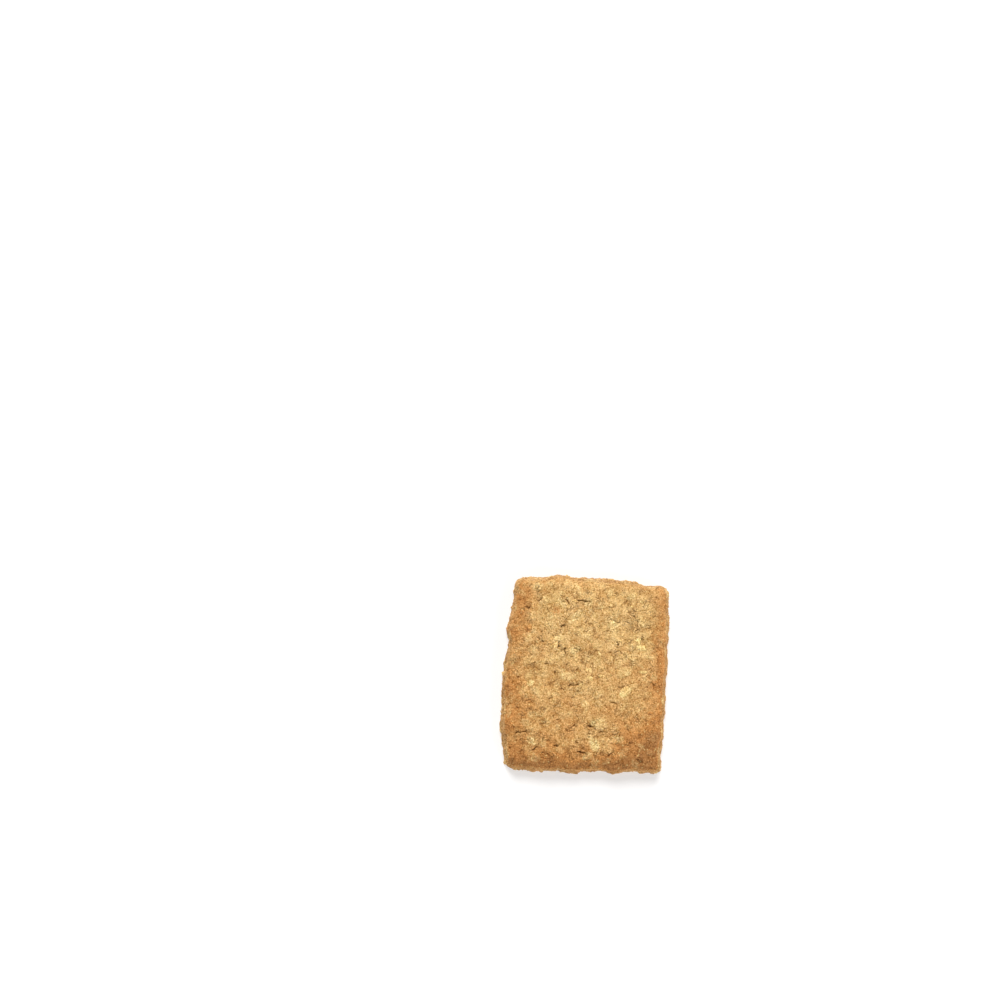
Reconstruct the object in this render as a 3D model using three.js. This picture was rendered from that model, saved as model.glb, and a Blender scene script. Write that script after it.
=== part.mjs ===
// An oatcake: one flat, rough, oblong biscuit, cut from a rolled sheet of oat dough and baked on a tray.
// It lies on its flat underside with the browned face up. Millimetres, +Z up.
// +X runs across the biscuit and +Y runs along it, and the origin is the middle of the underside.
import * as THREE from 'three';
import { mergeVertices } from 'three/addons/utils/BufferGeometryUtils.js';

// ---- Plan: the outline of the underside ----
const CORNER_WIDTH = 49.0; // between the straight lines that join the corners
const CORNER_LENGTH = 59.9;

// Each side leaves its straight line by the same rule, and out of the biscuit is positive. slant is how
// far out the line starts and ends, bow is the height of its long curve and bowAt is where that curve is
// highest. A bump is [place along the side, height, reach to each side of that place].
const SIDES = {
  left: {
    slant: [0.3, -0.3],
    bow: 2.3,
    bowAt: -6,
    bumps: [[-17, 0.3, 5], [9, -0.7, 4.5], [14.5, 0.4, 4], [22, -0.4, 5]],
  },
  right: {
    slant: [0, 0],
    bow: 0.7,
    bowAt: 8,
    bumps: [[-23, -0.25, 4], [-16, 0.2, 5], [9, -0.15, 3], [19, 0.15, 4]],
  },
  lower: {
    slant: [0.6, -0.6],
    bow: 0.2,
    bowAt: -10,
    bumps: [[-4, 0.7, 4.5], [4, -0.2, 4], [10, 0.75, 3.5], [16, -0.3, 4]],
  },
  upper: {
    slant: [0.25, -0.25],
    bow: 1.45,
    bowAt: -4,
    bumps: [[-10.5, 0.5, 4], [-5, -0.25, 3], [9, 0.1, 4], [17.5, -0.5, 4.5]],
  },
};
const CORNER_RADII = { lowerLeft: 3.0, lowerRight: 1.3, upperLeft: 1.7, upperRight: 2.1 };

// ---- Section: from the sharp lower edge, up the wall, over the shoulder to the crown ----
const WALL_HEIGHT = 3.9;
const WALL_LEAN = 0.9; // how far the wall has come in at its top
const WALL_CURVE = 1.6; // above 1 the wall starts upright and leans more as it rises
const SHOULDER_WIDTH = 2.6;
const SHOULDER_RISE = 1.5;
const CROWN_REACH = 12;
const CROWN_RISE = 1.45;

// ---- Unevenness: waves that cross each other, each with its length, height, direction and start ----
const TOP_WAVES = [
  { length: 27, height: 0.16, turn: 24, start: 40 },
  { length: 17, height: 0.13, turn: -38, start: 200 },
  { length: 11.5, height: 0.11, turn: 71, start: 95 },
  { length: 8.5, height: 0.09, turn: 132, start: 310 },
  { length: 6.5, height: 0.07, turn: 8, start: 150 },
];
const WALL_TOP_SHARE = 0.6; // how much of those waves the top of the wall follows
const WALL_WAVES = [
  { length: 9.5, height: 0.12, turn: 17, start: 60 },
  { length: 6.2, height: 0.09, turn: 110, start: 250 },
  { length: 4.6, height: 0.06, turn: 64, start: 20 },
];

// ---- Mesh: fine steps over the shoulder, even steps across the rest ----
const RIM_STEPS = 4;
const RIM_WIDTH = 2.6;
const TOP_STEP = 1.9;
const WALL_STEPS = 5;

const BOX_HALF_HEIGHT = 0.5;
const HALF_WIDTH = CORNER_WIDTH / 2;
const HALF_LENGTH = CORNER_LENGTH / 2;
const CRUST = { color: 0xcc9e64, roughness: 0.9, metalness: 0 };

// A quarter of a cosine on each side of the peak, so the bow is smooth there and nothing at the corners.
function bowAlong(side, place, halfSide) {
  const fromPeak = place - side.bowAt;
  const reach = halfSide - Math.sign(fromPeak) * side.bowAt;
  return side.bow * Math.cos((Math.PI / 2) * Math.min(Math.abs(fromPeak) / reach, 1));
}

// One raised-cosine hump, which starts and ends level.
function bumpAlong([centre, height, reach], place) {
  const share = Math.min(Math.abs(place - centre) / reach, 1);
  return (height * (1 + Math.cos(Math.PI * share))) / 2;
}

// How far a side stands out of its straight line at a place along it.
function sideOffset(side, place, halfSide) {
  const along = (1 + place / halfSide) / 2;
  const line = THREE.MathUtils.lerp(side.slant[0], side.slant[1], along);
  const bumps = side.bumps.reduce((sum, bump) => sum + bumpAlong(bump, place), 0);
  return line + bowAlong(side, place, halfSide) + bumps;
}

function cornerRadius(x, y) {
  const end = y < 0 ? 'lower' : 'upper';
  const side = x < 0 ? 'Left' : 'Right';
  return CORNER_RADII[end + side];
}

// A square corner becomes a quarter circle. Its x goes to x sqrt(1 - y^2 / 2), and its y does the same.
function roundCorner(x, y) {
  const radius = cornerRadius(x, y);
  const s = (Math.abs(x) - HALF_WIDTH + radius) / radius;
  const t = (Math.abs(y) - HALF_LENGTH + radius) / radius;
  if (s <= 0 || t <= 0) return [x, y];
  const roundX = HALF_WIDTH - radius + radius * s * Math.sqrt(1 - (t * t) / 2);
  const roundY = HALF_LENGTH - radius + radius * t * Math.sqrt(1 - (s * s) / 2);
  return [Math.sign(x) * roundX, Math.sign(y) * roundY];
}

// Where a point of the plain oblong goes, when every side is moved out by its offset and in by inset.
function planPoint(boxX, boxY, inset) {
  const [x, y] = roundCorner(boxX, boxY);
  const toRight = (1 + x / HALF_WIDTH) / 2;
  const toUpper = (1 + y / HALF_LENGTH) / 2;
  const left = sideOffset(SIDES.left, y, HALF_LENGTH) - inset;
  const right = sideOffset(SIDES.right, y, HALF_LENGTH) - inset;
  const lower = sideOffset(SIDES.lower, x, HALF_WIDTH) - inset;
  const upper = sideOffset(SIDES.upper, x, HALF_WIDTH) - inset;
  return [x + toRight * right - (1 - toRight) * left, y + toUpper * upper - (1 - toUpper) * lower];
}

function waves(list, u, v) {
  return list.reduce((sum, wave) => {
    const turn = THREE.MathUtils.degToRad(wave.turn);
    const travelled = (u * Math.cos(turn) + v * Math.sin(turn)) / wave.length;
    return sum + wave.height * Math.sin(2 * Math.PI * travelled + THREE.MathUtils.degToRad(wave.start));
  }, 0);
}

// A quarter ellipse, steep at the wall and level where the shoulder ends.
function shoulder(rim) {
  const left = 1 - Math.min(rim / SHOULDER_WIDTH, 1);
  return Math.sqrt(1 - left * left);
}

function crown(rim) {
  return Math.sin((Math.PI / 2) * Math.min(rim / CROWN_REACH, 1));
}

// The browned face, from its distance to the nearest side across and along. Corners come out thinnest,
// because both distances pull them down. At a side, it is the height of the wall.
function topHeight(boxX, boxY) {
  const rimX = HALF_WIDTH - Math.abs(boxX);
  const rimY = HALF_LENGTH - Math.abs(boxY);
  const onShoulder = shoulder(rimX) * shoulder(rimY);
  const rise = SHOULDER_RISE * onShoulder + CROWN_RISE * crown(rimX) * crown(rimY);
  const unevenShare = THREE.MathUtils.lerp(WALL_TOP_SHARE, 1, onShoulder);
  return WALL_HEIGHT + rise + unevenShare * waves(TOP_WAVES, boxX, boxY);
}

// The wall at a share of its height, from 0 at the lower edge to 1 where the shoulder starts.
function wallInset(boxX, boxY, share) {
  const lean = WALL_LEAN * Math.pow(share, WALL_CURVE);
  const uneven = waves(WALL_WAVES, boxX + boxY, share * WALL_HEIGHT + boxX - boxY);
  return lean + uneven * Math.sin(Math.PI * share);
}

// Box positions from -1 to 1 become places that are close together at the rim.
function spreadSteps(position, half, steps) {
  const fromMiddle = Math.abs(position) * (steps / 2);
  const innerSteps = steps / 2 - RIM_STEPS;
  const inner = (half - RIM_WIDTH) * Math.min(fromMiddle / innerSteps, 1);
  const intoRim = Math.max(fromMiddle - innerSteps, 0) / RIM_STEPS;
  return Math.sign(position) * (inner + RIM_WIDTH * Math.sin((Math.PI / 2) * intoRim));
}

function evenSteps(half) {
  return 2 * (RIM_STEPS + Math.round((half - RIM_WIDTH) / TOP_STEP));
}

function biscuitGeometry() {
  const stepsX = evenSteps(HALF_WIDTH);
  const stepsY = evenSteps(HALF_LENGTH);
  const box = new THREE.BoxGeometry(2, 2, 2 * BOX_HALF_HEIGHT, stepsX, stepsY, WALL_STEPS);
  box.deleteAttribute('normal');
  box.deleteAttribute('uv');
  const geometry = mergeVertices(box);
  const points = geometry.getAttribute('position');
  for (let i = 0; i < points.count; i += 1) {
    const boxX = spreadSteps(points.getX(i), HALF_WIDTH, stepsX);
    const boxY = spreadSteps(points.getY(i), HALF_LENGTH, stepsY);
    const share = points.getZ(i) + BOX_HALF_HEIGHT;
    const [x, y] = planPoint(boxX, boxY, wallInset(boxX, boxY, share));
    points.setXYZ(i, x, y, share * topHeight(boxX, boxY));
  }
  geometry.computeBoundingBox();
  const middle = geometry.boundingBox.getCenter(new THREE.Vector3());
  geometry.translate(-middle.x, -middle.y, 0);
  geometry.computeVertexNormals();
  return geometry;
}

const oatcake = new THREE.Mesh(biscuitGeometry(), new THREE.MeshStandardMaterial(CRUST));
oatcake.name = 'oatcake';

const part = new THREE.Group();
part.add(oatcake);

export default part;
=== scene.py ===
# %% [markdown]
# # An oatcake, baked from numpy
#
# This lesson makes one oatcake: an oblong biscuit of coarse oat dough, rolled out, cut, and baked flat on
# a tray. A plain solid of it already exists at its true size, and every shape here is built around that
# solid. Lengths are written in millimetres, as a baker would measure them, and become metres, Blender's
# unit, only when a mesh is made.

import bpy
import numpy as np
from mathutils import Euler, Matrix, Vector


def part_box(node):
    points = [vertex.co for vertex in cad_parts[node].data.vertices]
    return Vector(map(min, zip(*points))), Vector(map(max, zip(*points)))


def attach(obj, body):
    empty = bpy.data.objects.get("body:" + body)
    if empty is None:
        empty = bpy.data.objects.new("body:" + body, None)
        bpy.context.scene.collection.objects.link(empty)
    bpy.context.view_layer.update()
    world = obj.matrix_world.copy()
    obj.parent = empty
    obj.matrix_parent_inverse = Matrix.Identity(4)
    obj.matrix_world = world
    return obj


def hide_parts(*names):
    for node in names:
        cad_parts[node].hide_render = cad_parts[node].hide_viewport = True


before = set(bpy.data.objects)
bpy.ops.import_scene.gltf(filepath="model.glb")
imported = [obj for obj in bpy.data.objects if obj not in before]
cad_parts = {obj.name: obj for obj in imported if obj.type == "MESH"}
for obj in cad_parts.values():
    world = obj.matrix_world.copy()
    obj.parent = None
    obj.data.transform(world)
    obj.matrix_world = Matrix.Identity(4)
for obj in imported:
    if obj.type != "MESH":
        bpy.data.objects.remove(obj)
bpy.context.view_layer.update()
MM = 0.001
low, high = (np.array(corner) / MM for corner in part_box("oatcake"))
print("the solid is", np.round(high - low, 1), "mm")

# %% [markdown]
# ## The outline
#
# Seen from above, the biscuit is an oblong whose sides were cut by hand. Each side is a straight line
# between two corners, plus one long bow, plus a few short bumps and dips. Writing a side this way takes a
# handful of numbers, where tracing it would take hundreds of points, and a baker can read them.

# %% The four sides
CORNER_WIDTH = 49.0
CORNER_LENGTH = 59.9
HALF = np.array([CORNER_WIDTH, CORNER_LENGTH]) / 2
# slant: how far out each end of the line is. bow: (height, where it is highest).
# bumps: (place along the side, height, reach). Out of the biscuit is positive.
SIDES = {
    "left": dict(
        slant=(0.3, -0.3),
        bow=(2.3, -6),
        bumps=[(-17, 0.3, 5), (9, -0.7, 4.5), (14.5, 0.4, 4), (22, -0.4, 5)],
    ),
    "right": dict(
        slant=(0, 0),
        bow=(0.7, 8),
        bumps=[(-23, -0.25, 4), (-16, 0.2, 5), (9, -0.15, 3), (19, 0.15, 4)],
    ),
    "lower": dict(
        slant=(0.6, -0.6),
        bow=(0.2, -10),
        bumps=[(-4, 0.7, 4.5), (4, -0.2, 4), (10, 0.75, 3.5), (16, -0.3, 4)],
    ),
    "upper": dict(
        slant=(0.25, -0.25),
        bow=(1.45, -4),
        bumps=[(-10.5, 0.5, 4), (-5, -0.25, 3), (9, 0.1, 4), (17.5, -0.5, 4.5)],
    ),
}


def side_offset(side, place, half):
    """How far a side stands out at each place along it: the slanted line, plus a quarter cosine on each
    side of the bow's peak, plus a raised cosine for each bump."""
    height, peak = side["bow"]
    reach = half - np.sign(place - peak) * peak
    line = np.interp(place, (-half, half), side["slant"])
    total = line + height * np.cos(np.pi / 2 * np.clip(np.abs(place - peak) / reach, 0, 1))
    for centre, rise, width in side["bumps"]:
        share = np.clip(np.abs(place - centre) / width, 0, 1)
        total = total + rise * (1 + np.cos(np.pi * share)) / 2
    return total


widest = side_offset(SIDES["left"], np.linspace(-HALF[1], HALF[1], 200), HALF[1]).max()
print("the left side stands out by up to", widest.round(2), "mm")

# %% Corners and plan
CORNER_RADII = {(-1, -1): 3.0, (1, -1): 1.3, (-1, 1): 1.7, (1, 1): 2.1}


def round_corners(x, y):
    """Each square corner becomes a quarter circle: x goes to x times the root of (1 - y squared / 2),
    and y the same way, with both measured from the middle of the corner's circle."""
    x, y = x.copy(), y.copy()
    for (sign_x, sign_y), radius in CORNER_RADII.items():
        across = (x * sign_x - HALF[0] + radius) / radius
        along = (y * sign_y - HALF[1] + radius) / radius
        at = (across > 0) & (along > 0)
        s, t = across[at], along[at]
        x[at] = sign_x * (HALF[0] - radius + radius * s * np.sqrt(1 - t**2 / 2))
        y[at] = sign_y * (HALF[1] - radius + radius * t * np.sqrt(1 - s**2 / 2))
    return x, y


def plan(x, y, inset):
    """Where a point of the plain oblong goes: its corner is rounded, then the two sides across from each
    other pull it out by their offsets less the inset, each in proportion to how near it is."""
    x, y = round_corners(x, y)
    to_right = (1 + x / HALF[0]) / 2
    to_upper = (1 + y / HALF[1]) / 2
    left, right = (side_offset(SIDES[name], y, HALF[1]) - inset for name in ("left", "right"))
    lower, upper = (side_offset(SIDES[name], x, HALF[0]) - inset for name in ("lower", "upper"))
    return x + to_right * right - (1 - to_right) * left, y + to_upper * upper - (1 - to_upper) * lower


print("corner radii", sorted(CORNER_RADII.values()), "mm")

# %% [markdown]
# ## The section
#
# Cut through, the biscuit has a flat underside with a sharp edge, a wall that starts upright and leans in,
# a rounded shoulder, and a top that swells gently towards the middle. Where two sides meet, both pull the
# top down, so the corners come out thinnest, as they do in the oven.

# %% Wall, shoulder and crown
WALL_HEIGHT = 3.9
WALL_LEAN = 0.9
WALL_CURVE = 1.6
SHOULDER_WIDTH = 2.6
SHOULDER_RISE = 1.5
CROWN_REACH = 12
CROWN_RISE = 1.45
WALL_TOP_SHARE = 0.6
# Crossing waves leave the rolled dough uneven: (length, height, direction in degrees, start in degrees).
TOP_WAVES = [
    (27, 0.16, 24, 40), (17, 0.13, -38, 200), (11.5, 0.11, 71, 95),
    (8.5, 0.09, 132, 310), (6.5, 0.07, 8, 150),
]
WALL_WAVES = [(9.5, 0.12, 17, 60), (6.2, 0.09, 110, 250), (4.6, 0.06, 64, 20)]


def waves(rows, u, v):
    """The sum of sine waves, each travelling in its own direction over u and v."""
    total = 0
    for length, height, turn, start in rows:
        travelled = u * np.cos(np.radians(turn)) + v * np.sin(np.radians(turn))
        total = total + height * np.sin(2 * np.pi * travelled / length + np.radians(start))
    return total


def top_height(x, y):
    """Wall height, plus a quarter ellipse over the shoulder, plus a quarter sine over the crown, each
    the product of its value across and its value along, plus the waves, less of them at the wall."""
    shoulder, crown = 1, 1
    for rim in (HALF[0] - np.abs(x), HALF[1] - np.abs(y)):
        shoulder = shoulder * np.sqrt(1 - (1 - np.clip(rim / SHOULDER_WIDTH, 0, 1)) ** 2)
        crown = crown * np.sin(np.pi / 2 * np.clip(rim / CROWN_REACH, 0, 1))
    uneven = (WALL_TOP_SHARE + (1 - WALL_TOP_SHARE) * shoulder) * waves(TOP_WAVES, x, y)
    return WALL_HEIGHT + SHOULDER_RISE * shoulder + CROWN_RISE * crown + uneven


def biscuit(x, y, share):
    """The smooth biscuit. x and y are places on the plain oblong, and share is 1 on the top, 0 on the
    underside and in between on the wall, where the lean grows as share to the power WALL_CURVE."""
    wobble = waves(WALL_WAVES, x + y, share * WALL_HEIGHT + x - y) * np.sin(np.pi * share)
    inset = WALL_LEAN * share**WALL_CURVE + wobble
    plan_x, plan_y = plan(x, y, inset)
    return np.stack([plan_x, plan_y, share * top_height(x, y)], axis=-1)


print("height at the middle", top_height(0.0, 0.0).round(2), "mm")

# %% [markdown]
# ## One closed skin
#
# The skin is a fine grid over the top, rings of the grid's border running down the wall, and a grid half as
# fine under the biscuit, where nothing needs more. The last ring closes on the underside's border cells, so
# the mesh has no hole and can hold crumb-sized relief everywhere.

# %% Places on the grid
STEP = 0.228
RIM_CELLS = 14
WALL_ROWS = 17


def spread(half):
    """Places across the biscuit: even steps over the middle, then steps that close up over the shoulder
    as a quarter sine, so that they stay even along its curve. The second array counts them from the
    middle."""
    inner = 2 * round((half - SHOULDER_WIDTH) / STEP / 2)
    count = np.arange(-inner - RIM_CELLS, inner + RIM_CELLS + 1)
    even = (half - SHOULDER_WIDTH) * np.clip(np.abs(count) / inner, 0, 1)
    over_shoulder = np.clip(np.abs(count) - inner, 0, None) / RIM_CELLS
    return np.sign(count) * (even + SHOULDER_WIDTH * np.sin(np.pi / 2 * over_shoulder)), count


places_x, count_x = spread(HALF[0])
places_y, count_y = spread(HALF[1])
cells_x, cells_y = len(places_x) - 1, len(places_y) - 1
print("top grid", cells_x, "by", cells_y, "cells")

# %% Vertices: top, wall rings, underside
top_ids = np.arange((cells_x + 1) * (cells_y + 1)).reshape(cells_x + 1, cells_y + 1)
# The border is followed round from the lower left corner: lower, right, upper and left side.
along_i, along_j = np.arange(cells_x), np.arange(cells_y)
ring_i = np.concatenate([along_i, np.full(cells_y, cells_x), cells_x - along_i, 0 * along_j])
ring_j = np.concatenate([0 * along_i, along_j, np.full(cells_x, cells_y), cells_y - along_j])
around = len(ring_i)
rings = top_ids.size + np.arange(WALL_ROWS * around).reshape(WALL_ROWS, around)
rings = np.vstack([top_ids[ring_i, ring_j], rings])
under_ids = np.full(top_ids.shape, -1)
under_ids[ring_i, ring_j] = rings[-1]
inner_i, inner_j = np.meshgrid(np.arange(2, cells_x, 2), np.arange(2, cells_y, 2), indexing="ij")
under_ids[inner_i, inner_j] = rings.max() + 1 + np.arange(inner_i.size).reshape(inner_i.shape)
print(around, "places round the border, in", WALL_ROWS, "rings")

# %% Their places on the smooth biscuit
grid_i, grid_j = np.meshgrid(np.arange(cells_x + 1), np.arange(cells_y + 1), indexing="ij")
all_i = np.concatenate([grid_i.ravel(), np.tile(ring_i, WALL_ROWS), inner_i.ravel()])
all_j = np.concatenate([grid_j.ravel(), np.tile(ring_j, WALL_ROWS), inner_j.ravel()])
row_shares = 1 - np.arange(1, WALL_ROWS + 1) / WALL_ROWS
share = np.concatenate([np.ones(top_ids.size), np.repeat(row_shares, around), np.zeros(inner_i.size)])
box_x, box_y = places_x[all_i], places_y[all_j]
smooth = biscuit(box_x, box_y, share)
middle = (smooth.min(axis=0) + smooth.max(axis=0)) / 2
smooth[:, :2] -= middle[:2]
print(len(smooth), "vertices, box", np.round(smooth.max(axis=0) - smooth.min(axis=0), 2), "mm")

# %% Faces, all turned outwards
cell_corners = [top_ids[:-1, :-1], top_ids[1:, :-1], top_ids[1:, 1:], top_ids[:-1, 1:]]
top_faces = np.stack(cell_corners, axis=-1).reshape(-1, 4)
after = np.roll(rings, -1, axis=1)
wall_faces = np.stack([rings[:-1], rings[1:], after[1:], after[:-1]], axis=-1).reshape(-1, 4)
# An underside cell goes round its corners and the places between them, but only the tray edge has
# vertices at those.
steps = [(0, 0), (0, 1), (0, 2), (1, 2), (2, 2), (2, 1), (2, 0), (1, 0)]
around_cell = [under_ids[i : cells_x - 1 + i : 2, j : cells_y - 1 + j : 2].ravel() for i, j in steps]
under_faces = [[v for v in cell if v >= 0] for cell in np.stack(around_cell, axis=-1).tolist()]
faces = top_faces.tolist() + wall_faces.tolist() + under_faces
TOP, LOWER, RIGHT, UPPER, LEFT, UNDER = range(6)
ring_side = np.repeat([LOWER, RIGHT, UPPER, LEFT], [cells_x, cells_y, cells_x, cells_y])
face_part = np.full(len(faces), UNDER)
face_part[: len(top_faces)] = TOP
face_part[len(top_faces) : -len(under_faces)] = np.tile(ring_side, WALL_ROWS)
print(len(faces), "faces,", sum(len(face) - 2 for face in faces), "triangles")


# %% Make the piece
def make_piece(name, points_mm, faces):
    """A mesh object from points in millimetres, at the origin, shaded smooth."""
    mesh = bpy.data.meshes.new(name)
    mesh.from_pydata((np.asarray(points_mm) * MM).tolist(), [], faces)
    mesh.shade_smooth()
    piece = bpy.data.objects.new(name, mesh)
    bpy.context.scene.collection.objects.link(piece)
    return piece


def read_normals(piece):
    """The outward direction at each vertex, as an array."""
    normals = np.empty(3 * len(piece.data.vertices), np.float32)
    piece.data.vertex_normals.foreach_get("vector", normals)
    return normals.reshape(-1, 3).astype(float)


crust = make_piece("baked_crust", smooth, faces)
normal = read_normals(crust)
print(crust.name, "has normals from", normal.min().round(2), "to", normal.max().round(2))

# %% [markdown]
# ## Rough dough
#
# Oat dough is never smooth: it is crushed flakes and meal held together by a little fat. The roughness is
# made in layers, from lumps as wide as a flake down to single grains. Lumps are gradient noise: random
# slopes on the corners of a lattice, blended smoothly in between. Grains are cell noise: one grain in each
# cell of a lattice, at a random place and height. Both come out the same every time for the same seed. The
# lattice is turned askew, because a flat top that runs along its planes would show its rows.

# %% The lattice
ASKEW = [np.radians(degrees) for degrees in (34, 41, 20)]
ASKEW_MATRIX = np.array(Euler(ASKEW).to_matrix())


def lattice(points, size, seed):
    """Each point's lattice cell, its place inside that cell, and a shuffled list of 256 numbers that
    gives every cell a number of its own."""
    order = np.random.default_rng(seed).permutation(256)
    places = points @ ASKEW_MATRIX / size
    cell = np.floor(places).astype(int)
    return cell, places - cell, order


def cell_number(order, cell):
    """Look up the shuffled list by the cell's three counts, one after the other."""
    a, b, c = cell.T
    return order[(order[(order[a & 255] + b) & 255] + c) & 255]


print("the lattice is turned by", np.degrees(ASKEW).round(), "degrees")


# %% Lumps by gradient noise
def noise(points, size, seed):
    """Lumps about size mm wide, around zero and seldom past 0.7. Each lattice corner's slope, met by the
    way to the point, gives a height, and the eight heights are blended by 6t^5 - 15t^4 + 10t^3."""
    cell, inside, order = lattice(points, size, seed)
    slopes = np.random.default_rng(seed + 1000).normal(size=(256, 3))
    slopes /= np.linalg.norm(slopes, axis=1, keepdims=True)
    ease = inside**3 * (inside * (inside * 6 - 15) + 10)
    total = np.zeros(len(points))
    for corner in np.ndindex(2, 2, 2):
        weight = np.where(corner, ease, 1 - ease).prod(axis=1)
        total += weight * ((inside - corner) * slopes[cell_number(order, cell + corner)]).sum(axis=1)
    return 1.5 * total


print("lumps spread by", noise(smooth[::40], 5.4, 1).std().round(2))


# %% Grains by cell noise
def grains(points, size, seed):
    """Round grains about size mm wide, from -0.5 to 0.5. The nearest grain's middle gives a dome, one
    half less the distance squared, and its own random number lifts or sinks it."""
    cell, inside, order = lattice(points, size, seed)
    draw = np.random.default_rng(seed + 2000)
    middles, levels = draw.random((256, 3)), draw.random(256)
    nearest, level = np.full(len(points), 9.0), np.zeros(len(points))
    for near_cell in np.ndindex(3, 3, 3):
        step = np.array(near_cell) - 1
        number = cell_number(order, cell + step)
        distance = ((step + middles[number] - inside) ** 2).sum(axis=1)
        level = np.where(distance < nearest, levels[number], level)
        nearest = np.minimum(nearest, distance)
    return 0.6 * (0.5 - np.minimum(nearest, 1)) + 0.4 * (level - 0.5)


def smoothstep(start, end, value):
    """0 before start, 1 after end, and an S curve between. It runs down when end is before start."""
    t = np.clip((value - start) / (end - start), 0, 1)
    return t * t * (3 - 2 * t)


print("grains spread by", grains(smooth[::40], 1.15, 4).std().round(2))

# %% Lumps and meal
on_top = smoothstep(0.35, 0.85, normal[:, 2])
on_wall = smoothstep(0.85, 0.4, np.abs(normal[:, 2]))
LAYERS = np.array([1, 1, 2.8])  # rolling lays the flakes flat, so on the wall the layers show as streaks
LUMPS = [(0.21, 5.4, 1), (0.24, 2.7, 2), (0.22, 1.5, 3)]  # (height, size, seed), in mm
MEAL = [(0.2, 1.15, 4), (0.22, 0.75, 5)]
lumps = sum(height * noise(smooth, size, seed) for height, size, seed in LUMPS)
meal = sum(height * grains(smooth, size, seed) for height, size, seed in MEAL)
streaks = 0.42 * noise(smooth * LAYERS, 3.8, 6) + 0.16 * grains(smooth * LAYERS, 2.3, 7)
relief = lumps + meal * (1 - 0.3 * on_wall) + streaks * on_wall
print("relief so far", np.round([relief.min(), relief.max()], 2), "mm")


# %% Crevices between lumps
def crevices(points, size, width, seed):
    """Thin winding lines, 1 on the line: where noise crosses zero, kept only where a second, broader noise
    is high, so that each line breaks off."""
    line = smoothstep(width, 0, np.abs(noise(points, size, seed)))
    return line * smoothstep(0.0, 0.25, noise(points, 1.4 * size, seed + 1))


torn_wall = crevices(smooth * LAYERS, 3.0, 0.06, 14) * on_wall
torn_top = crevices(smooth, 2.6, 0.05, 16) * on_top
WALL_TEAR, TOP_TEAR = 0.3, 0.2  # how deep
relief -= WALL_TEAR * torn_wall + TOP_TEAR * torn_top
print("torn along", round(100 * float((torn_wall + torn_top > 0.5).mean()), 1), "% of the skin")

# %% [markdown]
# ## Oat flakes in the dough
#
# Rolled oats are oval, three to five millimetres long, with a crease down the middle. Most lie just under
# the surface and only lift it a little, so they are pressed into the skin here: inside an ellipse the skin
# rises, round it runs a shallow groove, and along it a fine crease. Meal sticks to them, so their pale
# colour is broken up by noise. The palest ones are put where this oatcake has them.

# %% Flakes that show
# (x, y, half length, half width, turn in degrees, paleness), in mm on the top. Turn 0 lies across.
PALE_FLAKES = [
    (-9.0, 22.3, 2.1, 1.4, -25, 0.35), (-13.5, 23.6, 1.6, 1.1, 0, 0.3), (-4.0, 18.3, 2.5, 1.1, 45, 0.35),
    (8.3, 16.3, 1.9, 1.3, 10, 0.6), (17.4, 9.4, 2.2, 1.1, -8, 0.75), (-3.9, 7.8, 1.9, 1.3, 20, 0.5),
    (-17.2, 7.5, 1.6, 1.3, 0, 0.3), (-9.1, 11.4, 1.6, 1.0, 20, 0.3), (-5.7, -0.6, 2.5, 1.4, 0, 0.45),
    (12.2, 1.5, 2.5, 1.6, 25, 0.45), (12.7, -4.9, 2.1, 1.2, 25, 1.0), (-17.4, -3.4, 1.2, 0.9, 30, 1.0),
    (-16.2, -5.7, 1.6, 1.1, -40, 0.4), (0.4, -9.5, 1.6, 1.3, -60, 0.35), (-15.8, -13.1, 2.2, 1.1, 0, 0.3),
    (4.2, -14.8, 2.2, 1.3, 10, 0.65), (4.0, -21.5, 2.5, 1.6, -65, 0.75), (1.8, -25.7, 1.9, 1.3, 30, 0.45),
    (-15.9, -21.6, 1.9, 1.3, -15, 0.55), (-15.2, -26.8, 2.2, 1.4, 0, 0.35), (13.5, 25.4, 1.6, 1.0, 50, 0.45),
    (16.3, 18.7, 1.3, 1.0, 60, 0.3), (-15.9, 27.3, 1.9, 1.3, 0, 0.35), (6.4, 26.4, 1.9, 1.3, 0, 0.3),
    (21.9, 0.3, 1.3, 1.0, 0, 0.4), (11.3, -19.9, 1.6, 1.3, 20, 0.55),
]
print(len(PALE_FLAKES), "flakes to place by hand")

# %% Press a flake into the skin
pale = np.zeros(len(smooth))
edge_wobble = 0.3 * noise(smooth, 1.6, 11)
broken = smoothstep(-0.35, 0.25, noise(smooth, 0.9, 12) + 0.5 * noise(smooth, 2.2, 13))


def nearest_on_top(x, y):
    """The top's vertex nearest to a place seen from above."""
    return np.argmin(((smooth[: top_ids.size, :2] - (x, y)) ** 2).sum(axis=1))


def surface_frame(vertex, turn):
    """Two directions along the surface at a vertex. The first is turned from across by turn degrees, and
    on a wall, across means level."""
    up = normal[vertex]
    across = np.cross((0, -1, 0) if abs(up[2]) > 0.8 else (0, 0, 1), up)
    across /= np.linalg.norm(across)
    beside = np.cross(up, across)
    angle = np.radians(turn)
    return across * np.cos(angle) + beside * np.sin(angle), beside * np.cos(angle) - across * np.sin(angle)


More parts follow.
